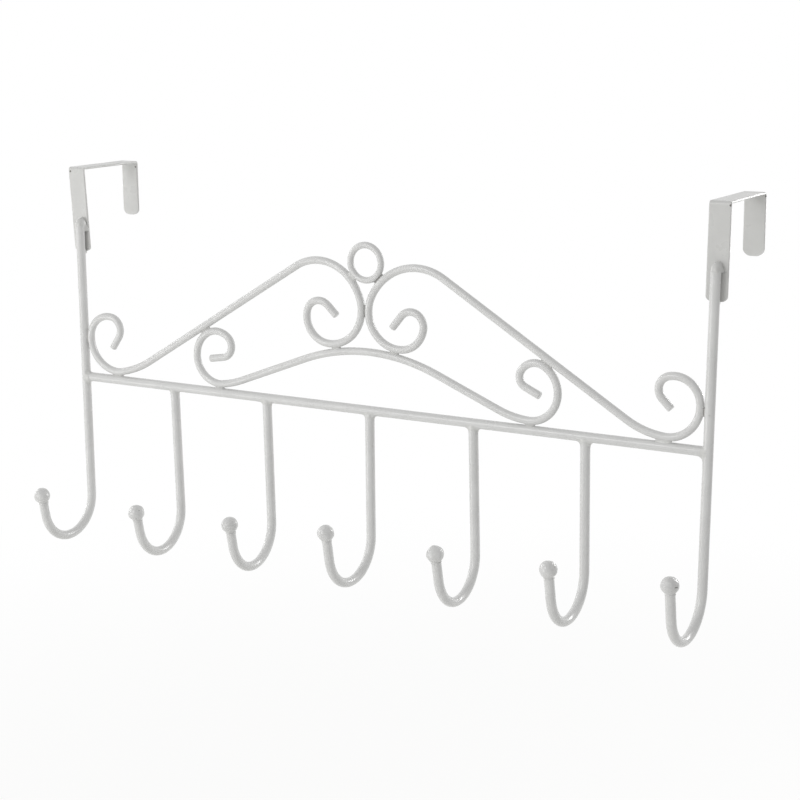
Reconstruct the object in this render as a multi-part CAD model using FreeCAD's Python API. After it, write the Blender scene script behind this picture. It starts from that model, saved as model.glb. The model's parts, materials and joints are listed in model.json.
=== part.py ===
import FreeCAD, Part
import math
import os

# Over door hook rail, welded from round rod, round wire and flat strip, in millimetres.
# The origin is on the door's front top edge, midway between the two brackets. X runs along the rail,
# Y runs into the door, so the hooks reach out to -Y, and Z = 0 is the underside of the brackets.

Vector = FreeCAD.Vector
X_AXIS = Vector(1, 0, 0)
Y_AXIS = Vector(0, 1, 0)
Z_AXIS = Vector(0, 0, 1)

# Stock
rod_d = 5.0            # round rod of the posts, the crossbar and the hooks
wire_d = 4.0           # round wire of the scrolls
ring_wire_d = 3.4      # thinner wire of the ring
strip_w = 11.0         # flat strip of the two brackets
strip_t = 1.2
strip_edge_r = 0.5     # rounding along the rolled edges of the strip
ball_d = 8.7           # steel ball on the tip of each hook
wire_end_r = 0.5       # cut ends of the wires, tumbled round

# Brackets
door_gap = 44.0        # thickness of door that a bracket takes
front_leg = 45.7       # underside of the bracket to the lower end of its front leg
rear_leg = 30.0
bracket_bend_r = 0.4   # inside radius of the two bends, folded sharply
front_end_r = 3.0      # corner rounding at the lower end of the front leg
rear_end_r = 4.2
bracket_shift = 1.1    # strip's middle outboard of the post, at the lower end of the front leg

# The strips were folded a little askew by hand: how far each one drifts sideways up its front leg, and
# then across its top.
left_drift = dict(shift=-0.3, front=-2.3, top=1.9)
right_drift = dict(shift=-0.4, front=0.6, top=0.6)

# Frame
post_spacing = 375.0   # between the axes of the outer posts
bar_drop = 117.2       # underside of the bracket to the axis of the crossbar
post_top_drop = 30.8   # underside of the bracket to the top end of the post

# Hooks, bent forward from a straight shank
hook_count = 7         # the two outer ones are the lower ends of the posts
hook_drop = 68.2       # axis of the crossbar to the centre of the bend
hook_bend_r = 19.8     # on the axis of the rod
hook_turn = 169.5
hook_tip = 10.6        # straight end between the bend and the ball

# Each hook was bent and welded by hand, so from left to right they stand a little differently: moved
# along the bar, leaning sideways, twisted about the shank, hung lower, and left longer at the tip.
# Millimetres and degrees. The outer two are the posts, which lean as a whole.
hook_stance = [
    dict(shift=-0.4, lean=0.1, twist=-1.4, lower=0.8, longer=-2.4),
    dict(shift=-0.3, lean=-1.2, twist=1.6, lower=0.6, longer=-3.6),
    dict(shift=-1.2, lean=-1.0, twist=2.4, lower=0.1, longer=-2.1),
    dict(shift=0.9, lean=0.0, twist=-2.0, lower=-0.4, longer=1.7),
    dict(shift=-0.5, lean=-1.0, twist=0.2, lower=-0.1, longer=0.4),
    dict(shift=-1.0, lean=-0.4, twist=0.6, lower=-0.1, longer=2.0),
    dict(shift=0.0, lean=0.8, twist=0.0, lower=-0.4, longer=3.6),
]

# Scrolls. A curl tightens inwards through three radii, each held for a turn in degrees, and ends in a
# straight tail. An easing bend leads into it. All radii are on the axis of the wire.
slope_deg = 31.4       # the long straight of the left and right scrolls
crown_meet_x = -1.2    # where the two crowns touch, a little off the middle
arch_r = 108.0         # the lower scroll's arch
ring_r = 9.1
right_outer_curl = dict(
    ease_r=45.0, ease_turn=27, outer_r=16.6, outer_turn=104,
    middle_r=12.9, middle_turn=95, inner_r=6.7, inner_turn=121, tail=6.6)
right_crown_curl = dict(
    ease_r=29.8, ease_turn=95, outer_r=18.2, outer_turn=125,
    middle_r=13.7, middle_turn=72, inner_r=7.4, inner_turn=150, tail=8.4)
right_small_curl = dict(
    ease_r=50.0, ease_turn=20, outer_r=15.1, outer_turn=153,
    middle_r=9.2, middle_turn=94, inner_r=5.5, inner_turn=91, tail=9.0)

# The left side was bent by the same hand to the same pattern, and came out a little different.
left_outer_change = dict(
    ease_r=15.0, ease_turn=-7, outer_r=1.5, middle_r=-0.2, middle_turn=5, inner_r=0.4,
    inner_turn=-9, tail=1.2)
left_crown_change = dict(
    ease_r=-3.6, ease_turn=11, outer_r=1.1, outer_turn=-13, middle_turn=21,
    inner_r=0.3, inner_turn=-26, tail=-1.0)
left_small_change = dict(
    ease_r=5.0, ease_turn=-6, outer_r=-0.4, outer_turn=5, middle_r=2.6, middle_turn=-26,
    inner_r=1.0, inner_turn=41, tail=-0.4)

# Welds
weld_gap = 0.3         # root gap that a weld fills
fillet_leg = 2.5       # fillet all round where one rod ends on another
fillet_relief = 0.05   # keeps the two curved surfaces of such a joint from touching in one point
seam_length = 5.0      # short seam where two rods or wires only touch
seam_d = 2.6
seam_end_r = 0.8
ramp_height = 4.2      # weld metal over the top end of a post
foot_bead_r = 2.0      # bead behind the post, under the lower end of the strip

# Sizes that follow from those above
rod_r = rod_d / 2
wire_r = wire_d / 2
ring_wire_r = ring_wire_d / 2
ball_r = ball_d / 2
post_x = post_spacing / 2
rod_y = -strip_t - weld_gap - rod_r
bar_z = -bar_drop
post_top = bar_drop - post_top_drop
hook_pitch = post_spacing / (hook_count - 1)
ball_seat = math.sqrt(ball_r ** 2 - rod_r ** 2)


def bent_again(curl, change):
    """The same curl as it came out the second time."""
    return {name: size + change.get(name, 0) for name, size in curl.items()}


left_outer_curl = bent_again(right_outer_curl, left_outer_change)
left_crown_curl = bent_again(right_crown_curl, left_crown_change)
left_small_curl = bent_again(right_small_curl, left_small_change)

os.makedirs("parts", exist_ok=True)


def save(name, shape):
    """Write one named piece."""
    shape.exportStep("parts/" + name + ".step")


# Bent wire as a flat line of straights and bends. A point is (across, up) from the axis of the
# crossbar, a heading is in degrees from across to up, and a positive turn is to the left.

def straight(length):
    return (None, length)


def bend(radius, turn):
    return (radius, turn)


def curl_bends(curl):
    """The bends of a curl from its easing bend to the end of its tail."""
    return [
        bend(curl["ease_r"], curl["ease_turn"]),
        bend(curl["outer_r"], curl["outer_turn"]),
        bend(curl["middle_r"], curl["middle_turn"]),
        bend(curl["inner_r"], curl["inner_turn"]),
        straight(curl["tail"]),
    ]


def along(point, heading, distance):
    angle = math.radians(heading)
    return (point[0] + distance * math.cos(angle), point[1] + distance * math.sin(angle))


def bend_line(start, heading, steps):
    """Follow the steps from a start. A straight gives two points and a bend gives three."""
    pieces = []
    point = start
    for radius, amount in steps:
        if radius is None:
            end = along(point, heading, amount)
            pieces.append([point, end])
        else:
            side = math.copysign(90, radius)
            turn = math.copysign(amount, radius)
            centre = along(point, heading + side, abs(radius))
            middle = along(centre, heading - side + turn / 2, abs(radius))
            end = along(centre, heading - side + turn, abs(radius))
            pieces.append([point, middle, end])
            heading += turn
        point = end
    return pieces, heading


def reversed_line(pieces):
    return [list(reversed(points)) for points in reversed(pieces)]


def flip(point):
    """The same point on the other side of the rail."""
    return (-point[0], point[1])


def mirrored(pieces):
    return [[flip(point) for point in points] for points in pieces]


def heading_between(a, b):
    return math.degrees(math.atan2(b[1] - a[1], b[0] - a[0]))


def meeting_point(a, reach_a, b, reach_b, side):
    """The point at a reach from a and a reach from b, above their line for side 1, below for -1."""
    gap = math.dist(a, b)
    foot = (reach_a ** 2 - reach_b ** 2 + gap ** 2) / (2 * gap)
    rise = side * math.sqrt(reach_a ** 2 - foot ** 2)
    ux = (b[0] - a[0]) / gap
    uz = (b[1] - a[1]) / gap
    return (a[0] + foot * ux - rise * uz, a[1] + foot * uz + rise * ux)


# Solids from such lines

def in_rail(point):
    """A point of the rail's plane, across and up from the middle of the crossbar."""
    return Vector(point[0], rod_y, bar_z + point[1])


def edges_of(pieces, place):
    edges = []
    for points in pieces:
        spots = [place(point) for point in points]
        if len(spots) == 2:
            edges.append(Part.LineSegment(*spots).toShape())
        else:
            edges.append(Part.Arc(*spots).toShape())
    return edges


def round_bar(pieces, place, diameter):
    """A round bar that follows a line of straights and bends."""
    path = Part.Wire(edges_of(pieces, place))
    first = path.Edges[0]
    start = first.valueAt(first.FirstParameter)
    section = Part.makeCircle(diameter / 2, start, first.tangentAt(first.FirstParameter))
    return path.makePipe(Part.Face(Part.Wire(section)))


def rounded_ends(solid, ends, radius):
    """Round the rims of a bar's cut ends."""
    rims = [edge for edge in solid.Edges if edge.Closed and edge.Curve.TypeId == "Part::GeomCircle"
            and min(edge.Curve.Center.distanceToPoint(end) for end in ends) < radius]
    return solid.makeFillet(radius, rims)


def wire_piece(pieces):
    """A bent wire of the rail, with both its cut ends tumbled round."""
    ends = [in_rail(pieces[0][0]), in_rail(pieces[-1][-1])]
    return rounded_ends(round_bar(pieces, in_rail, wire_d), ends, wire_end_r)


# Brackets: a strip with rolled round edges, folded twice over the door

def rolled_section(x, z):
    """The level cross-section of the strip, against the door's front face."""
    block = Part.makeBox(strip_w, strip_t, strip_t, Vector(x - strip_w / 2, -strip_t, z - strip_t))
    upright = [edge for edge in block.Edges if edge.BoundBox.ZLength > strip_t / 2]
    block = block.makeFillet(strip_edge_r, upright)
    return max(block.Faces, key=lambda face: face.CenterOfMass.z)


def end_outline(width, x, y, z, end_r):
    """A tall block across the strip, with the two corners rounded that shape the strip's end."""
    block = Part.makeBox(width, 2 * strip_t, 2 * front_leg, Vector(x - width / 2, y - strip_t / 2, z))
    corners = [edge for edge in block.Edges
               if edge.BoundBox.ZMax < z + strip_t and edge.BoundBox.XLength < strip_t]
    return block.makeFillet(end_r, corners)


def bracket(x, drift):
    """The strip from the lower end of its front leg, x, over the door and down behind it."""
    front_run = front_leg - bracket_bend_r
    top_run = door_gap - 2 * bracket_bend_r
    rear_run = rear_leg - bracket_bend_r
    section = rolled_section(x, -front_leg)
    solids = []
    for step, fold_y in ((Vector(drift["front"], 0, front_run), bracket_bend_r),
                         (Vector(drift["top"], top_run, 0), door_gap - bracket_bend_r),
                         (Vector(0, 0, -rear_run), None)):
        solids.append(section.extrude(step))
        section = section.translated(step)
        if fold_y is not None:
            fold = Vector(0, fold_y, -bracket_bend_r)
            solids.append(section.revolve(fold, X_AXIS, -90))
            section = section.rotated(fold, X_AXIS, -90)
    lean = math.degrees(math.atan2(drift["front"], front_run))
    front = end_outline(strip_w * math.cos(math.radians(lean)), x, -strip_t, -front_leg, front_end_r)
    front.rotate(Vector(x, 0, -front_leg), Y_AXIS, lean)
    rear_x = x + drift["front"] + drift["top"]
    rear = end_outline(strip_w, rear_x, door_gap, -rear_leg, rear_end_r)
    solids[0] = solids[0].common(front)
    solids[-1] = solids[-1].common(rear)
    return solids[0].fuse(solids[1:]).removeSplitter()


foot_x = post_x + bracket_shift
left_bracket = bracket(-foot_x + left_drift["shift"], left_drift)
right_bracket = bracket(foot_x + right_drift["shift"], right_drift)

# Posts, crossbar and hooks

def hook_solids(index, top):
    """The rod of one hook and its ball, for a shank that starts at a height above the crossbar."""
    stance = hook_stance[index]
    x = index * hook_pitch - post_x + stance["shift"]
    pieces, heading = bend_line((0, top), -90, [
        straight(top + hook_drop + stance["lower"]),
        bend(hook_bend_r, hook_turn),
        straight(hook_tip + stance["longer"]),
    ])

    def forward(point):
        return Vector(x, rod_y - point[0], bar_z + point[1])

    rod = round_bar(pieces, forward, rod_d)
    tip = pieces[-1][-1]
    centre = forward(along(tip, heading, ball_seat))
    outward = (centre - forward(tip)).normalize()
    ball = Part.makeSphere(ball_r, centre)
    ball = ball.cut(Part.makeCylinder(ball_r, ball_r, forward(tip), -outward))
    joint = in_rail((x, 0))
    for solid in (rod, ball):
        solid.rotate(joint, Z_AXIS, stance["twist"])
        solid.rotate(joint, Y_AXIS, stance["lean"])
    upward = FreeCAD.Rotation(Y_AXIS, stance["lean"]).multVec(Z_AXIS)
    return rod, ball, joint, upward


last = hook_count - 1
inner_top = -rod_r - weld_gap
hooks = [hook_solids(index, post_top if index in (0, last) else inner_top) for index in range(hook_count)]
left_post, _, left_joint, left_upward = hooks[0]
right_post, _, right_joint, right_upward = hooks[last]
bar_end_clear = rod_r + weld_gap
crossbar = Part.makeCylinder(rod_r, right_joint.x - left_joint.x - 2 * bar_end_clear,
                             left_joint + X_AXIS * bar_end_clear, X_AXIS)

# Left and right scrolls: outer curl, slope, crown and central curl, drawn for the right side

def ease_start(centre, curl, slope):
    """Where a wire that comes down to the right at a slope starts to ease into its outer bend."""
    joint_heading = 90 - slope + curl["ease_turn"]
    ease_centre = along(centre, joint_heading, curl["ease_r"] - curl["outer_r"])
    return along(ease_centre, -90 - slope, curl["ease_r"])


def upper_scroll(outer_curl, crown_curl, meet_x, foot_of_post, lean):
    """The wire of one side, and the centres that its neighbours are set against."""
    reach = rod_r + weld_gap + wire_r + outer_curl["outer_r"]
    outward = math.radians(lean)
    outer_centre = (foot_of_post + (reach * math.sin(outward) - reach) / math.cos(outward), reach)
    foot = ease_start(outer_centre, outer_curl, slope_deg)
    outer_part, _ = bend_line(foot, -slope_deg, curl_bends(outer_curl))
    climb = 180 - slope_deg
    # The slope is as long as it takes for the crown to reach the meeting line
    crown_to_curl = crown_curl["ease_r"] - crown_curl["outer_r"]
    curl_side = climb + crown_curl["ease_turn"] - 90
    crown_offset = along(along((0, 0), climb + 90, crown_curl["ease_r"]), curl_side, crown_to_curl)
    curl_x = meet_x + wire_r + weld_gap / 2 + crown_curl["outer_r"]
    length = (foot[0] - curl_x + crown_offset[0]) / math.cos(math.radians(slope_deg))
    crown_part, _ = bend_line(foot, climb, [straight(length)] + curl_bends(crown_curl))
    crown_centre = along(along(foot, climb, length), climb + 90, crown_curl["ease_r"])
    curl_centre = along(crown_centre, curl_side, crown_to_curl)
    return reversed_line(outer_part) + crown_part, outer_centre, foot, crown_centre, curl_centre


right_lean = hook_stance[last]["lean"]
left_lean = hook_stance[0]["lean"]
right_line, right_outer, right_foot, right_crown, right_curl = upper_scroll(
    right_outer_curl, right_crown_curl, crown_meet_x, right_joint.x, right_lean)
left_line, left_outer, left_foot, left_crown, left_curl = upper_scroll(
    left_outer_curl, left_crown_curl, -crown_meet_x, -left_joint.x, -left_lean)
right_scroll = wire_piece(right_line)
left_scroll = wire_piece(mirrored(left_line))

# Ring: a closed wire that sits on the two crowns

ring_reach = wire_r + weld_gap + ring_wire_r + ring_r
ring_centre = meeting_point(
    flip(left_crown), left_crown_curl["ease_r"] + ring_reach,
    right_crown, right_crown_curl["ease_r"] + ring_reach, 1)
ring = Part.makeTorus(ring_r, ring_wire_r, in_rail(ring_centre), Y_AXIS)

# Lower scroll: an arch that carries the two central curls, with a small curl under each slope

apart = 2 * wire_r + weld_gap
arch_centre = meeting_point(
    flip(left_curl), left_crown_curl["outer_r"] + arch_r + apart,
    right_curl, right_crown_curl["outer_r"] + arch_r + apart, -1)


def small_curl_centre(foot, curl):
    """The bend that rests on the crossbar and touches the slope above it."""
    up = rod_r + weld_gap + wire_r + curl["outer_r"]
    slope = math.radians(slope_deg)
    level = foot[0] * math.sin(slope) + foot[1] * math.cos(slope) - curl["outer_r"] - apart
    return ((level - up * math.cos(slope)) / math.sin(slope), up)


def half_arch(top_centre, curl_centre, curl):
    """From the top of the arch down a straight that runs into the small curl."""
    dx = curl_centre[0] - top_centre[0]
    dz = curl_centre[1] - top_centre[1]
    ease = math.radians(curl["ease_turn"])
    reach = arch_r + curl["outer_r"] + (curl["ease_r"] - curl["outer_r"]) * (1 - math.cos(ease))
    slope = math.degrees(math.atan2(dx, dz) - math.acos(reach / math.hypot(dx, dz)))
    foot = ease_start(curl_centre, curl, slope)
    top = along(top_centre, 90, arch_r)
    tangent_point = along(top_centre, 90 - slope, arch_r)
    pieces, _ = bend_line(top, 0, [
        bend(-arch_r, slope),
        straight(math.dist(tangent_point, foot)),
    ] + curl_bends(curl))
    return pieces


right_small = small_curl_centre(right_foot, right_small_curl)
left_small = small_curl_centre(left_foot, left_small_curl)
right_half = half_arch(arch_centre, right_small, right_small_curl)
left_half = half_arch(flip(arch_centre), left_small, left_small_curl)
lower_scroll = wire_piece(reversed_line(mirrored(left_half)) + right_half)

# Welds. Each takes its inner faces from the pieces that it joins.

def fillet_weld(joint, run_axis, run, stem_axis, stem):
    """A fillet all round the end of a stem rod that stands on a run rod of the same size."""
    reach = 2 * (rod_d + fillet_leg)
    run_core = Part.makeCylinder(rod_r, reach, joint - run_axis * (reach / 2), run_axis)
    stem_core = Part.makeCylinder(rod_r - fillet_relief, reach, joint, stem_axis)
    core = run_core.fuse(stem_core)
    creases = [edge for edge in core.Edges
               if edge.Curve.TypeId not in ("Part::GeomCircle", "Part::GeomLine")]
    return core.makeFillet(fillet_leg, creases).cut(run_core).cut(run).cut(stem)


def seam_weld(point, heading, first, second):
    """A short seam along two bars that touch."""
    start = in_rail(along(point, heading, -seam_length / 2))
    end = in_rail(along(point, heading, seam_length / 2))
    bead = Part.makeCylinder(seam_d / 2, seam_length, start, end - start)
    bead = bead.makeFillet(seam_end_r, [edge for edge in bead.Edges if edge.Closed])
    return bead.cut(first).cut(second)


def seam_beside(centre, radius, heading, first, second):
    """A seam where a bend of a wire meets its neighbour, at a heading from the bend's centre."""
    point = along(centre, heading, radius + wire_r + weld_gap / 2)
    return seam_weld(point, heading + 90, first, second)


def post_welds(joint, upward, inward, post, strip):
    """The three welds of a post: the ramp over its top, the bead at the strip's foot, the bar's end."""
    top = joint + upward * post_top
    stretch = FreeCAD.Matrix()
    stretch.scale(rod_r, rod_d + weld_gap, ramp_height)
    ramp = Part.makeSphere(1).transformGeometry(stretch)
    ramp.translate(Vector(top.x, -strip_t, top.z))
    front = Part.makeBox(rod_d, rod_d + strip_t, 2 * ramp_height,
                         Vector(top.x - rod_r, -rod_d - 2 * strip_t, top.z - ramp_height))
    ramp = ramp.common(front).cut(strip).cut(post)
    foot = joint + upward * (bar_drop - front_leg)
    bead = Part.makeSphere(foot_bead_r, Vector(foot.x, -foot_bead_r, foot.z))
    bead = bead.cut(strip).cut(post)
    return [ramp, bead, fillet_weld(joint, upward, post, inward, crossbar)]


hook_welds = [fillet_weld(joint, X_AXIS, crossbar, -upward, rod) for rod, _, joint, upward in hooks[1:last]]
left_post_welds = post_welds(left_joint, left_upward, X_AXIS, left_post, left_bracket)
right_post_welds = post_welds(right_joint, right_upward, -X_AXIS, right_post, right_bracket)

below = -90
left_scroll_welds = [
    seam_beside(flip(left_outer), left_outer_curl["outer_r"], below, crossbar, left_scroll),
    seam_beside(flip(left_outer), left_outer_curl["outer_r"], 180 - left_lean, left_post, left_scroll),
    seam_beside(flip(left_small), left_small_curl["outer_r"], below, crossbar, lower_scroll),
    seam_beside(flip(left_small), left_small_curl["outer_r"], 90 + slope_deg, lower_scroll, left_scroll),
]
right_scroll_welds = [
    seam_beside(right_outer, right_outer_curl["outer_r"], below, crossbar, right_scroll),
    seam_beside(right_outer, right_outer_curl["outer_r"], -right_lean, right_post, right_scroll),
    seam_beside(right_small, right_small_curl["outer_r"], below, crossbar, lower_scroll),
    seam_beside(right_small, right_small_curl["outer_r"], 90 - slope_deg, lower_scroll, right_scroll),
]
crown_meet = (crown_meet_x, (left_curl[1] + right_curl[1]) / 2)
crown_welds = [
    seam_weld(crown_meet, 90, left_scroll, right_scroll),
    seam_beside(right_crown, right_crown_curl["ease_r"], heading_between(right_crown, ring_centre),
                ring, right_scroll),
    seam_beside(flip(left_crown), left_crown_curl["ease_r"],
                heading_between(flip(left_crown), ring_centre), ring, left_scroll),
    seam_beside(arch_centre, arch_r, heading_between(arch_centre, right_curl),
                lower_scroll, right_scroll),
    seam_beside(arch_centre, arch_r, heading_between(arch_centre, flip(left_curl)),
                lower_scroll, left_scroll),
]

# Pieces

save("left_bracket", left_bracket)
save("right_bracket", right_bracket)
save("left_post_hook", left_post)
save("right_post_hook", right_post)
save("crossbar", crossbar)
for index in range(1, last):
    save("hook_" + str(index + 1), hooks[index][0])
for index in range(hook_count):
    save("ball_" + str(index + 1), hooks[index][1])
save("left_scroll", left_scroll)
save("right_scroll", right_scroll)
save("lower_scroll", lower_scroll)
save("ring", ring)
save("hook_welds", Part.makeCompound(hook_welds))
save("left_post_welds", Part.makeCompound(left_post_welds))
save("right_post_welds", Part.makeCompound(right_post_welds))
save("left_scroll_welds", Part.makeCompound(left_scroll_welds))
save("right_scroll_welds", Part.makeCompound(right_scroll_welds))
save("crown_welds", Part.makeCompound(crown_welds))
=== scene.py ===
# %% [markdown]
# # An over-door hook rail in white powder coat
# The rail is welded from round rod, thinner round wire and flat strip, and then powder coated all
# over in one go, so every piece has the same white skin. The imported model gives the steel. This
# scene gives what the coat and the welder add: uneven weld metal, balls that were welded on with a
# small collar, the faint orange peel of the baked coat, and the light of a small studio.

# %% Load the frame
import json
import math
import bpy
import numpy as np
from mathutils import Matrix, Vector
from mathutils.bvhtree import BVHTree


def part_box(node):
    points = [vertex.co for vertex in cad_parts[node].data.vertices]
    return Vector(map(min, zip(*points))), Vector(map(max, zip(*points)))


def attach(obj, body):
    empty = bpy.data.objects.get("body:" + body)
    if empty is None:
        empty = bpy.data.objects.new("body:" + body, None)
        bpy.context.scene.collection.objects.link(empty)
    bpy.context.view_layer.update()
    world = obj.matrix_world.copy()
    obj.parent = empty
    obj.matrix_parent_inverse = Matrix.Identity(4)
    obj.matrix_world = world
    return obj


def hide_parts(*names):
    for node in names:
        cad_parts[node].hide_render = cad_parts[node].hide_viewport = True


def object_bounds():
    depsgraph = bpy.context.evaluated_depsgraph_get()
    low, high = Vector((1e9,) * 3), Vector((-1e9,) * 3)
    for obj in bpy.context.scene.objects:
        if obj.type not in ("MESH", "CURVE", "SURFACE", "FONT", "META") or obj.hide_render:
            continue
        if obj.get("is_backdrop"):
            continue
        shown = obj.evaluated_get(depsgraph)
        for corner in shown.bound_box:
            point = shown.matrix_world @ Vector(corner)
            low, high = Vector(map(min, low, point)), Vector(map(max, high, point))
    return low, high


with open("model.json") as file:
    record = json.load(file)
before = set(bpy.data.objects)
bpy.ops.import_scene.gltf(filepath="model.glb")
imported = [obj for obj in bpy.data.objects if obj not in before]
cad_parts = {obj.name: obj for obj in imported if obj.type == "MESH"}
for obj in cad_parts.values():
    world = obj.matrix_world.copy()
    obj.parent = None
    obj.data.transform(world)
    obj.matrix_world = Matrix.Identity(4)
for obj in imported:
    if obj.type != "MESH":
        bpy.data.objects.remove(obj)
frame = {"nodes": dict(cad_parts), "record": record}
cad_low, cad_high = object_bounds()
print("rail", [round(1000 * (high - low), 1) for low, high in zip(cad_low, cad_high)], "mm")

# %% [markdown]
# ## The camera
# The photograph was taken a little from above and from the right, from about a metre away. A long
# lens keeps the posts nearly upright. The camera could be aimed by a constraint, but turning it by
# three plain angles gives the same view each time: to the side, then down, then a slight roll.

# %% Camera
camera_place = Vector((0.4931, -0.8149, 0.0984))
camera_turn = math.radians(30.30)
camera_down = math.radians(12.49)
camera_roll = math.radians(0.47)
frame_pixels = 800
focal_pixels = 1866
sensor_mm = 36.0

camera_data = bpy.data.cameras.new("camera")
camera_data.sensor_width = sensor_mm
camera_data.lens = focal_pixels / frame_pixels * sensor_mm
camera_data.clip_end = 20
camera = bpy.data.objects.new("camera", camera_data)
camera.matrix_world = (
    Matrix.Translation(camera_place)
    @ Matrix.Rotation(camera_turn, 4, "Z")
    @ Matrix.Rotation(math.pi / 2 - camera_down, 4, "X")
    @ Matrix.Rotation(-camera_roll, 4, "Z")
)
bpy.context.scene.collection.objects.link(camera)
bpy.context.scene.camera = camera
print("lens", round(camera_data.lens, 1), "mm")

# %% [markdown]
# ## Colours and nodes
# Paint colours are easiest to write as they look on a screen. Blender mixes light in linear
# values, so one function turns a hex colour into them. Another adds one shader node with its
# fields and its inputs, where an input is either a number or the socket that feeds it.

# %% Colour and node helpers
def colour(hex_text):
    """Screen hex to linear: c / 12.92 in the dark toe, ((c + 0.055) / 1.055) ** 2.4 above it."""
    screen = np.array([int(hex_text[i:i + 2], 16) for i in (1, 3, 5)]) / 255
    linear = np.where(screen <= 0.04045, screen / 12.92, ((screen + 0.055) / 1.055) ** 2.4)
    return (*[float(value) for value in linear], 1.0)


def add_node(tree, kind, inputs=None, **fields):
    """Add one node, set its fields, and set or link its inputs."""
    node = tree.nodes.new(kind)
    for field, value in fields.items():
        setattr(node, field, value)
    for socket, value in (inputs or {}).items():
        if isinstance(value, bpy.types.NodeSocket):
            tree.links.new(value, node.inputs[socket])
        else:
            node.inputs[socket].default_value = value
    return node


print("white coat in linear values", [round(value, 3) for value in colour("#D4D4D3")[:3]])

# %% [markdown]
# ## The coat
# The finish is polyester powder coat: dry white powder is held on the steel by charge and baked
# until it flows. It sets as a semi-gloss plastic film, so its IOR is that of a resin. The eye sees
# three things in it. The surface has orange peel, shallow waves a millimetre or two long, that
# break up every reflection. The film is thinner in some places, which turns the white a shade
# greyer. Here and there a grain of dust is baked in as a nib. All three are noise in Object
# coordinates with a wavelength in millimetres, so the pattern stays on the steel in every view.
# The deepest part of each weld nip gets painted shade, in the same dark steel colour that shows
# where the coat chips off at the sharp outside of a bend. The painted shade is an attribute of the
# weld's own points, and each chip is the inside of a small ragged ball round its place.

# %% Powder coat recipe
film_drift = 0.011     # the film's thickness drifts over about a centimetre
ragged_edge = 0.0008   # grain of the ragged edge round a chip


def powder_coat(name, white, thin_white, roughness, peel_mm, peel_height_mm, nib_mm, chips=()):
    """Baked white powder: peel and nibs as bump, film thickness as two whites, chips, painted shade.
    """
    coat = bpy.data.materials.new(name)
    coat.use_nodes = True
    tree = coat.node_tree
    shader = tree.nodes["Principled BSDF"]
    shader.inputs["IOR"].default_value = 1.5
    place = add_node(tree, "ShaderNodeTexCoord").outputs["Object"]
    film = add_node(tree, "ShaderNodeTexNoise",
                    {"Vector": place, "Scale": 1 / film_drift, "Detail": 3.0, "Roughness": 0.55})
    drift = add_node(tree, "ShaderNodeMapRange",
                     {"Value": film.outputs["Fac"], "From Min": 0.32, "From Max": 0.68})
    tint = add_node(tree, "ShaderNodeMix",
                    {0: drift.outputs["Result"], 6: colour(thin_white), 7: colour(white)},
                    data_type="RGBA")
    # A nib is a baked-in grain of dust. There is one in each cell of nib_mm, and it fades out at
    # 0.06 of that width from its middle: 0.2 mm on the balls, up to 1 mm on the strip
    grains = add_node(tree, "ShaderNodeTexVoronoi", {"Vector": place, "Scale": 1000 / nib_mm})
    nib = add_node(tree, "ShaderNodeMapRange",
                   {"Value": grains.outputs["Distance"], "From Min": 0.02, "From Max": 0.06,
                    "To Min": 1.0, "To Max": 0.0})
    dust = add_node(tree, "ShaderNodeMath", {0: nib.outputs["Result"], 1: 0.35},
                    operation="MULTIPLY")
    base = add_node(tree, "ShaderNodeMix",
                    {0: dust.outputs["Value"], 6: tint.outputs[2], 7: colour("#9C9A94")},
                    data_type="RGBA")
    # The attribute is painted shade in the deepest part of each weld nip; the chips are added to it
    # below
    nip_shade_and_chips = add_node(tree, "ShaderNodeAttribute", attribute_name="nip_shade_and_chips").outputs["Fac"]
    ragged = add_node(tree, "ShaderNodeTexNoise",
                      {"Vector": place, "Scale": 1 / ragged_edge, "Detail": 2.0})
    # The noise is near a half, so a chip fades out about one radius from its place
    for chip, chip_r in chips:
        distance = add_node(tree, "ShaderNodeVectorMath", {0: place, 1: chip}, operation="DISTANCE")
        edge = add_node(tree, "ShaderNodeMath",
                        {0: ragged.outputs["Fac"], 1: chip_r, 2: distance.outputs["Value"]},
                        operation="MULTIPLY_ADD")
        inside = add_node(tree, "ShaderNodeMapRange",
                          {"Value": edge.outputs["Value"], "From Min": 1.3 * chip_r,
                           "From Max": 1.6 * chip_r, "To Min": 1.0, "To Max": 0.0})
        nip_shade_and_chips = add_node(tree, "ShaderNodeMath", {0: nip_shade_and_chips, 1: inside.outputs["Result"]},
                        operation="MAXIMUM").outputs["Value"]
    # Dark steel where the coat has chipped, and painted shade in the weld nips
    skin_tone = add_node(tree, "ShaderNodeMix", {0: nip_shade_and_chips, 6: base.outputs[2], 7: colour("#6E6C68")},
                         data_type="RGBA")
    tree.links.new(skin_tone.outputs[2], shader.inputs["Base Color"])
    # A thicker film flows out glossier
    gloss = add_node(tree, "ShaderNodeMapRange",
                     {"Value": film.outputs["Fac"], "From Min": 0.3, "From Max": 0.7,
                      "To Min": roughness + 0.06, "To Max": roughness - 0.06})
    tree.links.new(gloss.outputs["Result"], shader.inputs["Roughness"])
    # Orange peel is some five thousandths of a millimetre high; it is drawn higher to show
    peel = add_node(tree, "ShaderNodeTexNoise",
                    {"Vector": place, "Scale": 1000 / peel_mm, "Detail": 1.5, "Roughness": 0.5})
    waves = add_node(tree, "ShaderNodeBump",
                     {"Height": peel.outputs["Fac"], "Distance": peel_height_mm / 1000,
                      "Strength": 0.8})
    bumps = add_node(tree, "ShaderNodeBump",
                     {"Height": nib.outputs["Result"], "Distance": 0.00012, "Strength": 0.7,
                      "Normal": waves.outputs["Normal"]})
    tree.links.new(bumps.outputs["Normal"], shader.inputs["Normal"])
    return coat
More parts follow.
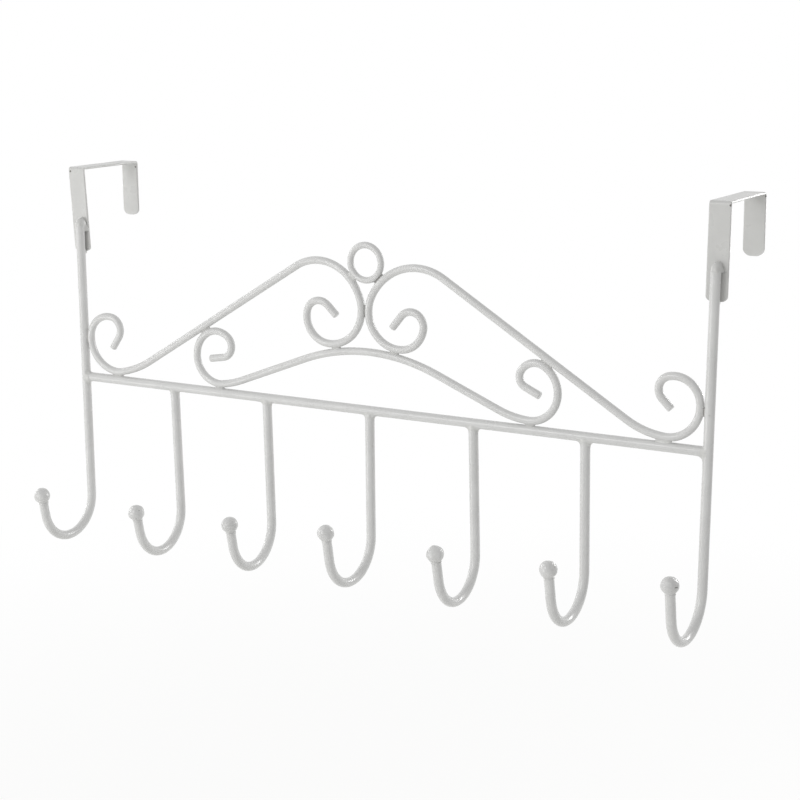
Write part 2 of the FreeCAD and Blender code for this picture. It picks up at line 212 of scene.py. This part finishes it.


# %% [markdown]
# The same powder looks a little different on each kind of stock. On flat strip the peel is wide
# and the white slightly warm, because the film lies thin on the flats. On rod and wire it flows
# round the curve and peels finer. On weld metal it covers ripples and spatter, so it is rougher,
# and on the balls it is thickest and glossiest.

# %% The five coats
# place and radius in metres of a chip at the outside of each of the four sharp bends, and of a few
# nicks in the balls, given by their direction from the ball's middle
bend_chips = [
    ((0.1939, -0.0012, -0.0006), 0.0006),
    ((0.1949, 0.0442, -0.0008), 0.0006),
    ((-0.1953, -0.0012, -0.0012), 0.0006),
    ((-0.1848, 0.0440, -0.0022), 0.0006),
]
ball_nicks = []
for name, nick_r, sides in (
        ("ball_7", 0.00032, [(0.84, -0.54, 0.04), (0.91, -0.41, 0.03), (0.96, -0.28, 0.01)]),
        ("ball_6", 0.00030, [(0.91, -0.17, 0.39)]),
        ("ball_2", 0.00032, [(0.45, -0.70, -0.55), (0.75, -0.40, 0.53)])):
    low, high = [np.array(corner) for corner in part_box(name)]
    radius = (high[0] - low[0]) / 2
    middle = np.array([(low[0] + high[0]) / 2, (low[1] + high[1]) / 2, high[2] - radius])
    ball_nicks += [(tuple(float(v) for v in middle + radius * np.array(side)), nick_r)
                   for side in sides]
coats = {
    "coated_strip": powder_coat("powder coat on rolled strip", "#CDCDCB", "#C7C7C5",
                                0.30, 2.4, 0.020, 16.0, bend_chips),
    "coated_rod": powder_coat("powder coat on drawn rod", "#D4D4D3", "#CECECD",
                              0.25, 1.7, 0.008, 13.0),
    "coated_wire": powder_coat("powder coat on drawn wire", "#D4D4D3", "#CECECD",
                               0.25, 1.5, 0.009, 12.0),
    "coated_ball": powder_coat("powder coat on steel balls", "#D4D4D3", "#C9C9C8",
                               0.22, 1.3, 0.020, 3.6, ball_nicks),
    "coated_weld": powder_coat("powder coat on weld metal", "#D2D2D0", "#C8C8C6",
                               0.32, 1.1, 0.050, 4.0),
}
node_slots = {entry["node"]: entry["material_slot"] for entry in frame["record"]["subparts"]}
for name, node in frame["nodes"].items():
    node.data.materials.clear()
    node.data.materials.append(coats[node_slots[name]])
print(len(coats), "coats on", len(node_slots), "nodes")

# %% [markdown]
# ## Skins from numbers
# A weld or a ball is a closed skin. It is worked out as rings of points, a whole array at a time.
# Neighbouring rings are joined by four-cornered faces, and the ends are closed either by joining
# the last ring to the first or by a fan to a middle point. The sign of the enclosed volume tells
# whether the faces point outwards, and if they don't, they are all turned round.

# %% Skin helpers
def skin(rings, ring_of_rings=False):
    """Points and faces from rings[ring, point]. The volume is a sixth of the sum of a . (b x c)."""
    rows, columns = rings.shape[:2]
    index = np.arange(rows * columns).reshape(rows, columns)
    here = index if ring_of_rings else index[:-1]
    there = np.roll(index, -1, axis=0) if ring_of_rings else index[1:]
    quads = np.stack([here, np.roll(here, -1, axis=1), np.roll(there, -1, axis=1), there], axis=-1)
    quads = quads.reshape(-1, 4)
    points = rings.reshape(-1, 3)
    fans = np.empty((0, 3), dtype=int)
    if not ring_of_rings:
        points = np.vstack([points, rings[0].mean(axis=0), rings[-1].mean(axis=0)])
        first = np.full(columns, rows * columns)
        fans = np.vstack([np.stack([np.roll(index[0], -1), index[0], first], axis=-1),
                          np.stack([index[-1], np.roll(index[-1], -1), first + 1], axis=-1)])
    corners = points[np.vstack([quads[:, [0, 1, 2]], quads[:, [0, 2, 3]], fans])]
    volume = np.einsum("ij,ij->i", corners[:, 0], np.cross(corners[:, 1], corners[:, 2])).sum() / 6
    if volume < 0:
        quads = quads[:, ::-1]
        fans = fans[:, ::-1]
    return points, quads.tolist() + fans.tolist()


def add_piece(name, skins, node, slot, nip_shade_and_chips=None):
    """One object from several skins. It rides on the rail and stands for a CAD node."""
    points = np.vstack([part[0] for part in skins])
    shifts = np.cumsum([0] + [len(part[0]) for part in skins])
    faces = [[corner + int(shift) for corner in face]
             for part, shift in zip(skins, shifts) for face in part[1]]
    mesh = bpy.data.meshes.new(name)
    mesh.from_pydata(points.tolist(), [], faces)
    mesh.shade_smooth()
    # Painted shade for the deepest part of each weld nip, one value a point
    if nip_shade_and_chips is not None:
        attribute = mesh.attributes.new("nip_shade_and_chips", "FLOAT", "POINT")
        attribute.data.foreach_set("value", np.concatenate(nip_shade_and_chips).astype(np.float32))
    mesh.materials.append(coats[slot])
    piece = bpy.data.objects.new(name, mesh)
    bpy.context.scene.collection.objects.link(piece)
    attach(piece, "root")
    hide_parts(node)
    print(name, len(points), "points for", node)


def unit(vector):
    return vector / np.linalg.norm(vector)


# %% [markdown]
# Weld metal and thick coat are never quite even. The unevenness is a sum of plane waves whose
# directions and phases come from a seeded generator, so that it is the same in each run. It moves
# each point along the skin's own normal, which is the cross product of the grid's two slopes.

# %% Unevenness
def uneven(rings, wavelength, height, seed, ring_of_rings=False):
    """Move points by height * mean of sin(2 pi direction . point / wavelength + phase)."""
    source = np.random.default_rng(seed)
    directions = source.normal(size=(9, 3))
    directions /= np.linalg.norm(directions, axis=1, keepdims=True)
    directions *= source.uniform(0.6, 1.6, (9, 1))
    phases = source.uniform(0, 2 * math.pi, 9)
    waves = np.sin(rings @ directions.T * (2 * math.pi / wavelength) + phases).mean(axis=-1)
    across = np.roll(rings, -1, axis=1) - np.roll(rings, 1, axis=1)
    if ring_of_rings:
        down = np.roll(rings, -1, axis=0) - np.roll(rings, 1, axis=0)
    else:
        down = np.gradient(rings, axis=0)
    normal = np.cross(across, down)
    normal /= np.linalg.norm(normal, axis=-1, keepdims=True) + 1e-12
    return rings + normal * (2 * height * waves)[..., None]


# %% [markdown]
# ## Where the rods are
# The welds follow the steel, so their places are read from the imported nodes. A straight rod's mesh
# has its points at the ends of the straight, so the middle of its top rim and the middle of the
# ring where its bend starts give its axis.

# %% Rod axes
def node_points(name):
    """The corners of a node's mesh, one in each row, in metres."""
    mesh = frame["nodes"][name].data
    flat = np.empty(3 * len(mesh.vertices))
    mesh.vertices.foreach_get("co", flat)
    return flat.reshape(-1, 3)


def half_depth(name):
    """Half the depth of a node's box: the radius of a bar or wire that lies in the rail's plane."""
    low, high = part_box(name)
    return (high[1] - low[1]) / 2


rod_r, wire_r, ring_wire_r = [half_depth(name) for name in ("crossbar", "lower_scroll", "ring")]
root_gap = 0.0003                  # left open between two bars, and filled by their weld
proud = 0.00004                    # metal that wets a rod stands this far out of it
bar_low, bar_high = [np.array(corner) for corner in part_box("crossbar")]
bar_y, bar_z = ((bar_low + bar_high) / 2)[1:]
rods = ["left_post_hook"] + ["hook_" + str(k) for k in range(2, 7)] + ["right_post_hook"]
bend_band = (0.0655, 0.0705)       # the bends start this far below the bar

rod_tops = []
rod_joints = []
rod_ups = []
for name in rods:
    points = node_points(name)
    depth = bar_z - points[:, 2]
    top = points[points[:, 2] > points[:, 2].max() - 0.0004].mean(axis=0)
    low = points[(depth > bend_band[0]) & (depth < bend_band[1])].mean(axis=0)
    up = unit(top - low)
    rod_tops.append(top)
    rod_ups.append(up)
    rod_joints.append(low + up * (bar_z - low[2]) / up[2])
print("rods meet the bar at", [round(1000 * float(joint[0]), 1) for joint in rod_joints], "mm")
print("radii", [round(1000 * float(radius), 2) for radius in (rod_r, wire_r, ring_wire_r)], "mm")

# %% [markdown]
# ## The balls
# Each hook ends in a steel ball that was pressed hot against the end of the rod. Metal squeezed
# out round the joint and left a small collar, and the coat has filled its corner. A ball could be a
# sphere with the rod stuck into it, but then the joint would be a sharp line. Here one profile is
# turned about the rod's axis: round the ball, through a hollow that touches both ball and rod, over
# the collar and in under the rod's skin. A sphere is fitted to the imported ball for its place.

# %% Balls and collars
neck_r = 0.0008        # hollow between ball and rod
collar_rise = 0.00022  # squeezed-out metal


def sphere_of(points):
    """Least squares on |p|^2 = 2 p . c + (r^2 - |c|^2), which is linear in c and the last term."""
    matrix = np.hstack([2 * points, np.ones((len(points), 1))])
    answer = np.linalg.lstsq(matrix, (points ** 2).sum(axis=1), rcond=None)[0]
    return answer[:3], math.sqrt(answer[3] + answer[:3] @ answer[:3])


def ball_and_collar(centre, radius, axis, seed):
    """Turn a profile (distance along the axis, distance from it): ball arc, hollow arc, collar."""
    hollow = math.sqrt((radius + neck_r) ** 2 - (rod_r + neck_r) ** 2)
    touch = math.atan2(rod_r + neck_r, hollow)
    ball_arc = np.linspace(math.pi - 0.02, touch, 56)
    hollow_arc = np.linspace(math.pi + touch, 1.45 * math.pi, 12)[1:]
    rise = np.linspace(0, math.pi, 12)
    collar_at = hollow + neck_r * math.cos(hollow_arc[-1])
    along = np.concatenate([
        radius * np.cos(ball_arc),
        hollow + neck_r * np.cos(hollow_arc),
        collar_at + 0.0011 * rise / math.pi,
        [collar_at + 0.0012]])
    off = np.concatenate([
        radius * np.sin(ball_arc),
        rod_r + neck_r + neck_r * np.sin(hollow_arc),
        rod_r + proud + collar_rise * np.sin(rise) ** 0.8 * (1 - 0.4 * rise / math.pi),
        [rod_r - 0.0004]])
    turn = np.linspace(0, 2 * math.pi, 96, endpoint=False)
    side = unit(np.cross(axis, [1.0, 0.2, 0.1]))
    other = np.cross(axis, side)
    round_axis = np.cos(turn)[:, None] * side + np.sin(turn)[:, None] * other
    rings = centre + along[:, None, None] * axis + off[:, None, None] * round_axis
    rings = uneven(rings, 0.0060, 0.00016, seed)
    return uneven(rings, 0.0018, 0.00006, seed + 50)


for k, rod in enumerate(rods, start=1):
    centre, radius = sphere_of(node_points("ball_" + str(k)))
    rim = node_points(rod)
    rim = rim[np.linalg.norm(rim - centre, axis=1) < radius + 0.0001]
    axis = unit(rim.mean(axis=0) - centre)
    add_piece("ball_and_collar_" + str(k), [skin(ball_and_collar(centre, radius, axis, k))],
              "ball_" + str(k), "coated_ball")
print("ball radius", round(1000 * radius, 2), "mm")

# %% [markdown]
# ## Fillet welds under the bar
# Each hook's shank stands on the underside of the bar in a fillet of weld metal, like a trumpet's
# mouth: deep where the two round rods meet at a right angle, and fading at the sides, where their
# surfaces run into each other. It could be a Boolean union with a bevel, but a saddle is easier to
# steer. For each direction round the shank, a curve leaves the shank, bends through the crease
# and lies down on the bar. The crease is where two equal rods cross, an angled ellipse.

# %% Fillet helper
past_cut_end = 0.0006  # a fillet's foot on the stem reaches this far past the stem's cut end


def fillet(joint, run_axis, stem_axis, radius, legs, seed):
    """For each angle round the stem, a quadratic curve from the stem past the crease to the run.

    With c and s the cosine and sine of the angle from the run's axis, the crease is at
    (r c, r s, r |c|) along the run, across both and along the stem. The curve's foot on the stem is
    one leg further along it, and past the stem's cut end all round. Its foot on the run is one leg
    away over the unrolled run.
    """
    turn = np.linspace(0, 2 * math.pi, 128, endpoint=False)
    c, s = np.cos(turn), np.sin(turn)
    leg = np.where(c > 0, legs[0], legs[1]) * np.abs(c) ** 0.8 + 0.00012
    ahead = np.sign(c) / np.sqrt(1 + s ** 2)
    round_run = np.arcsin(s) + leg / radius * s / np.sqrt(1 + s ** 2)
    crease = np.stack([radius * c, radius * s, radius * np.abs(c)], axis=-1)
    past_end = radius + root_gap + past_cut_end
    skin_r = radius + proud
    on_stem = np.stack([skin_r * c, skin_r * s,
                        np.maximum(radius * np.abs(c) + leg, past_end)], axis=-1)
    on_run = np.stack([radius * c + leg * ahead, radius * np.sin(round_run),
                       radius * np.cos(round_run)], axis=-1)
    t = np.linspace(0, 1, 22)[:, None, None]
    swell = 0.90 * crease + 0.05 * (on_stem + on_run)
    curve = (1 - t) ** 2 * on_stem + 2 * t * (1 - t) * swell + t ** 2 * on_run
    inside = np.stack([0.85 * on_run, 0.75 * crease, on_stem * [0.85, 0.85, 1.0]])
    rings = np.concatenate([curve, inside])
    across = np.cross(stem_axis, run_axis)
    rings = joint + rings @ np.stack([run_axis, across, stem_axis])
    return uneven(rings, 0.0021, 0.00009, seed, ring_of_rings=True)


# %% Hook fillets
x_axis = np.array([1.0, 0.0, 0.0])
# leg lengths in metres to the left and right of each shank, as uneven as in the photograph
hook_legs = [(0.0024, 0.0018), (0.0021, 0.0020), (0.0023, 0.0024), (0.0027, 0.0022),
             (0.0024, 0.0026)]
skins = [skin(fillet(rod_joints[k], x_axis, -rod_ups[k], rod_r, (legs[1], legs[0]), 20 + k), True)
         for k, legs in enumerate(hook_legs, start=1)]
add_piece("fillets_under_bar", skins, "hook_welds", "coated_weld")

# %% [markdown]
# ## The ends of a post
# Three welds belong to each post. At its top the welder ran metal over the cut end and up onto the
# strip, which leaves a smooth hood that is wider on one side. At the lower end of the strip a bead
# fills the step behind the post. Where the bar ends on the post there is a fillet, larger below
# than above. The hood is a stack of half ellipses against the strip's face that get lower and
# narrower towards the top.

# %% Hood and bead helpers
strip_y = -0.0012      # front face of the strip
hood_rise = 0.0042     # above the post's end
web_depth = 0.0026     # how far the webs beside the post stand out from the strip
post_stand_off = strip_y - bar_y    # from the strip's face to the post's axis, which is the bar's
tuck_length = 0.0012   # below the post's end the hood sinks into the rod over this length
tuck = 0.0004          # and by this much
print("post axis", round(1000 * post_stand_off, 2), "mm in front of the strip")


def hood(top, up, web_left, web_right, toe, skirt, seed):
    """Arches |x / width|^p + |y / height|^p = 1 against the strip, shrinking as sqrt(1 - v^2).

    The power p is 3.2 at the post's end, so that the arch covers the round rod, and 2 at the top.
    Beside the post a web is added at the strip's face. It widens from nothing at the toe, above
    the post's end, to its full width at the skirt, below it.
    """
    rise = np.concatenate([np.linspace(-skirt, 0, 14),
                           hood_rise * np.sin(np.linspace(0, 1.53, 34))[1:]])
    above = np.clip(rise / hood_rise, 0, 1)
    below = np.clip(-rise / tuck_length, 0, 1)
    shrink = np.sqrt(1 - above ** 2)
    height = (rod_r + post_stand_off + 0.00008) * shrink - tuck * below
    width = (rod_r + 0.00006) * np.sqrt(1 - above ** 2.6)
    power = (2 / (3.2 - 1.2 * above))[:, None]
    a = np.linspace(0, math.pi, 61)
    x = width[:, None] * np.sign(np.cos(a)) * np.abs(np.cos(a)) ** power
    y = height[:, None] * np.abs(np.sin(a)) ** power
    wide = np.clip((toe - rise) / (toe + 0.6 * skirt), 0, 1)[:, None]
    web = wide * np.clip(1 - y / web_depth, 0, 1) ** 2
    x = x + web * np.where(np.cos(a) > 0, web_right, -web_left)
    back = np.linspace(x[:, -1], x[:, 0], 12)[1:-1].T
    x = np.concatenate([x, back], axis=1)
    y = np.concatenate([-y, np.full_like(back, 0.0003)], axis=1)
    middle = top[0] + rise * up[0]
    rings = np.stack([middle[:, None] + x, strip_y + y,
                      np.broadcast_to(top[2] + rise[:, None], x.shape)], axis=-1)
    return uneven(rings, 0.0050, 0.00010, seed)


def bead(centre, half_sizes, seed):
    """An ellipsoid in rings from pole to pole, with the ripples of weld metal on it."""
    polar = np.linspace(0.05, math.pi - 0.05, 30)
    turn = np.linspace(0, 2 * math.pi, 48, endpoint=False)
    rings = np.stack([np.outer(np.sin(polar), np.cos(turn)),
                      np.outer(np.sin(polar), np.sin(turn)),
                      np.outer(np.cos(polar), np.ones_like(turn))], axis=-1)
    return uneven(centre + rings * half_sizes, 0.0024, 0.00012, seed)


# %% Post welds
strip_foot = -0.0457    # lower end of the strips
# webs to the left and right, toe above and skirt below the post's end, and legs of the bar's fillet
for k, side, inward, webs, legs in (
        (0, "left", x_axis, (0.0004, 0.0015, 0.0010, 0.0034), (0.0018, 0.0022)),
        (6, "right", -x_axis, (0.0003, 0.0010, 0.0018, 0.0009), (0.0008, 0.0032))):
    foot = rod_joints[k] + rod_ups[k] * (strip_foot - bar_z)
    skins = [
        skin(hood(rod_tops[k], rod_ups[k], *webs, 40 + k)),
        skin(bead(np.array([foot[0], -0.0021, strip_foot - 0.0003]),
                  np.array([0.0021, 0.0019, 0.0017]), 60 + k)),
        skin(fillet(rod_joints[k], rod_ups[k], inward, rod_r, legs, 30 + k), True),
    ]
    add_piece(side + "_post_weld_metal", skins, side + "_post_welds", "coated_weld")

# %% [markdown]
# ## Seams between wires
# Where a curl touches the bar, a post or another wire, the welder left a short seam in the nip.
# Its outer face is a hollow arc that touches both round bars, as molten metal does when it wets
# them, and it gets shallower to both ends. Across the seam this is plain geometry: the circle of
# the hollow touches both bars, so its centre is a bar radius plus its own radius from each axis.
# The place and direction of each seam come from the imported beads, which are short straight rods.

# %% Seam helpers
def beads_of(node):
    """Middle and direction of each separate bead of a node, found by joining shared corners."""
    mesh = frame["nodes"][node].data
    points = node_points(node)
    keys, merged = np.unique(points.round(7), axis=0, return_inverse=True)
    merged = merged.reshape(-1)
    edges = np.empty(2 * len(mesh.edges), dtype=int)
    mesh.edges.foreach_get("vertices", edges)
    edges = merged[edges.reshape(-1, 2)]
    label = np.arange(len(keys))
    while True:
        lower = label.copy()
        np.minimum.at(lower, edges[:, 0], label[edges[:, 1]])
        np.minimum.at(lower, edges[:, 1], label[edges[:, 0]])
        if (lower == label).all():
            break
        label = lower
    found = []
    for bead_label in np.unique(label):
        own = keys[label == bead_label]
        middle = (own.min(axis=0) + own.max(axis=0)) / 2
        spread = np.linalg.svd(own - own.mean(axis=0), full_matrices=False)[2]
        found.append((middle, spread[0]))
    return sorted(found, key=lambda item: item[0][0])


def tree_of(names):
    """One search tree over the skins of several nodes."""
    corners, faces = [], []
    for name in names:
        mesh = frame["nodes"][name].data
        faces += [[corner + len(corners) for corner in face.vertices] for face in mesh.polygons]
        corners += [vertex.co.copy() for vertex in mesh.vertices]
    return BVHTree.FromPolygons(corners, faces)


bars = tree_of(["left_post_hook", "right_post_hook", "crossbar", "left_scroll", "right_scroll",
                "lower_scroll", "ring"])
ring_low, ring_high = [np.array(corner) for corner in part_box("ring")]
ring_middle = (ring_low + ring_high) / 2
ring_reach = (ring_high[2] - ring_low[2]) / 2
nip_width = 0.00035    # from the middle of a nip to where its painted shade has faded to a third
bar_not_hit = 0.003    # distance taken where a ray from the seam passes a bar


def bar_radius(point):
    """The radius of what a point on its axis belongs to: bar or post, ring, or scroll wire."""
    in_bar = abs(point[2] - bar_z) < rod_r
    in_post = min(abs(point[0] - (rod_joints[k] + rod_ups[k] * (point[2] - bar_z))[0])
                  for k in (0, 6)) < rod_r
    in_ring = math.hypot(point[0] - ring_middle[0], point[2] - ring_middle[2]) < ring_reach
    return rod_r if in_bar or in_post else ring_wire_r if in_ring else wire_r


def seam(middle, direction, hollow_r, half_length, shift, nip_shade_and_chips, seed):
    """Rings along the seam, and the painted nip shade of each point. A ring is two hollow arcs,
    front and back.

    At each ring, rays to both sides give the distance to each bar's skin, since the gap widens
    where a curl bends away. With p and q the two bars' radii plus the hollow's own, and d the
    distance of their axes, the hollow's centre is (p^2 - q^2 + d^2) / (2 d) from the first axis.
    """
    direction = direction * (1 if direction[0] + 0.01 * direction[2] > 0 else -1)
    across = unit(np.cross(direction, [0.0, 1.0, 0.0]))
    s = np.sin(np.linspace(-1.52, 1.52, 40))
    stations = middle + (shift + half_length * s)[:, None] * direction
    radii = [bar_radius(middle + side * across * wire_r) for side in (-1, 1)]
    reaches = []
    for side in (-1, 1):
        hits = [bars.ray_cast(Vector(station), Vector(side * across), 2 * wire_r)[3]
                for station in stations]
        reaches.append(np.array([bar_not_hit if hit is None else hit for hit in hits]))
    gap = reaches[0] + reaches[1]
    apart = radii[0] + radii[1] + gap
    least = 0.56 * gap
    hollow = least + np.maximum(hollow_r - least, 0) * (1 - s ** 2) ** 0.7
    over = ((radii[0] + hollow) ** 2 - (radii[1] + hollow) ** 2 + apart ** 2) / (2 * apart)
    high = np.sqrt(np.maximum((radii[0] + hollow) ** 2 - over ** 2, 1e-10))
    first = np.arctan2(-high, -over)
    last = np.arctan2(-high, apart - over)
    angle = first[:, None] + (last - first)[:, None] * np.linspace(0, 1, 20)
    u = over[:, None] + hollow[:, None] * np.cos(angle) - radii[0] - reaches[0][:, None]
    v = np.maximum(high[:, None] + hollow[:, None] * np.sin(angle), 0.00002)
    u = np.concatenate([u, u[:, ::-1]], axis=1)
    v = np.concatenate([-v, v[:, ::-1]], axis=1)
    rings = stations[:, None] + u[..., None] * across + v[..., None] * np.array([0.0, 1.0, 0.0])
    # painted shade, in dark steel colour, in the deepest part of the nip
    nip_shade = nip_shade_and_chips * np.exp(-(u / nip_width) ** 2) * (1 - 0.5 * s[:, None] ** 4)
    return uneven(rings, 0.0022, 0.00006, seed), np.append(nip_shade.ravel(), [0.0, 0.0])


# %% Seams
# hollow radius, half length and shift along the seam in metres, and how dark the painted shade in
# its nip is, from left to right in each node
seam_sizes = {
    "left_scroll_welds": [(0.0007, 0.0036, 0, 0.6), (0.0010, 0.0038, 0, 0.4),
                          (0.0007, 0.0034, 0, 0.35), (0.0008, 0.0028, 0, 0.2)],
    "right_scroll_welds": [(0.0008, 0.0028, 0, 0.2), (0.0007, 0.0034, 0, 0.35),
                           (0.0016, 0.0042, -0.0015, 0.0), (0.0013, 0.0022, -0.0022, 0.9)],
    "crown_welds": [(0.0011, 0.0026, 0, 0.3), (0.0026, 0.0030, 0, 0.0), (0.0004, 0.0032, 0, 0.8),
                    (0.0005, 0.0034, 0, 1.0), (0.0010, 0.0026, 0, 0.3)],
}
for node, sizes in seam_sizes.items():
    beads = beads_of(node)
    for (middle, direction), size in zip(beads, sizes):
        print(node, np.round(1000 * middle, 1), np.round(direction, 2),
              "hollow", 1000 * size[0], "mm")
    rings_and_nip_shade = [seam(middle, direction, *size, 70 + k)
                       for k, ((middle, direction), size) in enumerate(zip(beads, sizes))]
    add_piece(node.replace("_welds", "_seams"), [skin(rings) for rings, nip_shade in rings_and_nip_shade],
              node, "coated_weld", [nip_shade for rings, nip_shade in rings_and_nip_shade])

# %% [markdown]
# ## Studio
# The lamps are a guess from the photograph's highlights. Two softboxes, one nearly in front and one
# lower on the left, light it softly. A bright upright strip lamp behind the rail draws the short
# white streaks in the hooks, and a lamp at the far left draws the light edges of the rods.
# Everything else is white paper. The world stands for
# the paper: it gives a soft grey light all round, and looks plain white to the camera and in
# reflections. The floor lies well below the hanging rail, and is white too, with the soft shadow
# that falls on it.

# %% World
world = bpy.data.worlds.new("white paper studio")
world.use_nodes = True
bpy.context.scene.world = world
tree = world.node_tree
tree.nodes["Background"].inputs["Color"].default_value = (1, 1, 1, 1)
# The paper on the left catches more light than the paper on the right
towards = add_node(tree, "ShaderNodeSeparateXYZ",
                   {"Vector": add_node(tree, "ShaderNodeTexCoord").outputs["Generated"]})
ambient = add_node(tree, "ShaderNodeMapRange",
                   {"Value": towards.outputs["X"], "From Min": -1.0, "From Max": 1.0,
                    "To Min": 0.80, "To Max": 0.50})
tree.links.new(ambient.outputs["Result"], tree.nodes["Background"].inputs["Strength"])
seen = add_node(tree, "ShaderNodeBackground", {"Color": (1, 1, 1, 1), "Strength": 1.0})
path = add_node(tree, "ShaderNodeLightPath")
direct = add_node(tree, "ShaderNodeMath",
                  {0: path.outputs["Is Camera Ray"], 1: path.outputs["Is Glossy Ray"]},
                  operation="MAXIMUM")
shown = add_node(tree, "ShaderNodeMath",
                 {0: direct.outputs["Value"], 1: path.outputs["Is Transmission Ray"]},
                 operation="MAXIMUM")
mix = add_node(tree, "ShaderNodeMixShader",
               {0: shown.outputs["Value"], 1: tree.nodes["Background"].outputs["Background"],
                2: seen.outputs["Background"]})
tree.links.new(mix.outputs["Shader"], tree.nodes["World Output"].inputs["Surface"])

# %% Lamps
aim = Vector((0.0, -0.02, -0.10))
lamps = {
    "front softbox": (Vector((-0.60, -1.45, 0.45)), 0.70, 0.70, 5.4),
    "left softbox": (Vector((-0.80, -0.90, -0.35)), 0.50, 0.50, 2.0),
    "rear strip lamp": (Vector((0.44, 0.72, 0.10)), 0.09, 0.50, 2.4),
    "far left lamp": (Vector((-1.30, -0.05, 0.25)), 0.16, 0.90, 2.4),
}
for name, (place, width, height, watts) in lamps.items():
    lamp_data = bpy.data.lights.new(name, "AREA")
    lamp_data.shape = "ELLIPSE"
    lamp_data.size = width
    lamp_data.size_y = height
    lamp_data.energy = watts
    lamp = bpy.data.objects.new(name, lamp_data)
    lamp.location = place
    lamp.visible_camera = False
    lamp.rotation_euler = (aim - place).to_track_quat("-Z", "Y").to_euler()
    bpy.context.scene.collection.objects.link(lamp)
    print(name, watts, "W at", round((place - aim).length, 2), "m")

# %% Floor
floor_drop = 0.30      # from the rail's lowest point to the floor
floor_radius = 5.0
circles, sides = 40, 96
floor_z = float(cad_low[2]) - floor_drop
reach = np.linspace(0.02, 1, circles) ** 1.5 * floor_radius
turn = np.linspace(0, 2 * math.pi, sides, endpoint=False)
rings = np.stack([np.outer(reach, np.cos(turn)), np.outer(reach, np.sin(turn)),
                  np.full((circles, sides), floor_z)], axis=-1)
index = np.arange(circles * sides).reshape(circles, sides)
quads = np.stack([index[:-1], index[1:], np.roll(index[1:], -1, axis=1),
                  np.roll(index[:-1], -1, axis=1)], axis=-1).reshape(-1, 4)
floor_mesh = bpy.data.meshes.new("floor")
floor_mesh.from_pydata(rings.reshape(-1, 3).tolist(), [], quads.tolist() + [index[0].tolist()])
floor = bpy.data.objects.new("floor", floor_mesh)
bpy.context.scene.collection.objects.link(floor)
floor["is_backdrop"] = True

paper = bpy.data.materials.new("white seamless paper")
paper.use_nodes = True
tree = paper.node_tree
shader = tree.nodes["Principled BSDF"]
shader.inputs["Base Color"].default_value = colour("#F4F4F2")
shader.inputs["Roughness"].default_value = 0.9
glow = add_node(tree, "ShaderNodeEmission", {"Color": (1, 1, 1, 1), "Strength": 1.0})
place = add_node(tree, "ShaderNodeTexCoord").outputs["Object"]
distance = add_node(tree, "ShaderNodeVectorMath", {0: place}, operation="LENGTH")
# Near the rail the paper shows its shadow; further out it fades into the white world
fade = add_node(tree, "ShaderNodeMapRange",
                {"Value": distance.outputs["Value"], "From Min": 0.55, "From Max": 1.3,
                 "To Min": 0.80, "To Max": 1.0}, interpolation_type="SMOOTHSTEP")
path = add_node(tree, "ShaderNodeLightPath")
direct = add_node(tree, "ShaderNodeMath",
                  {0: path.outputs["Is Camera Ray"], 1: path.outputs["Is Glossy Ray"]},
                  operation="MAXIMUM")
amount = add_node(tree, "ShaderNodeMath", {0: direct.outputs["Value"], 1: fade.outputs["Result"]},
                  operation="MULTIPLY")
mix = add_node(tree, "ShaderNodeMixShader",
               {0: amount.outputs["Value"], 1: shader.outputs["BSDF"], 2: glow.outputs["Emission"]})
tree.links.new(mix.outputs["Shader"], tree.nodes["Material Output"].inputs["Surface"])
floor_mesh.materials.append(paper)
print("floor at", round(1000 * floor_z, 1), "mm")

# %% View transform
bpy.context.scene.view_settings.view_transform = "Standard"

# %% Sizes and finish
low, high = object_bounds()
print("visual model", [round(1000 * (b - a), 1) for a, b in zip(low, high)], "mm")
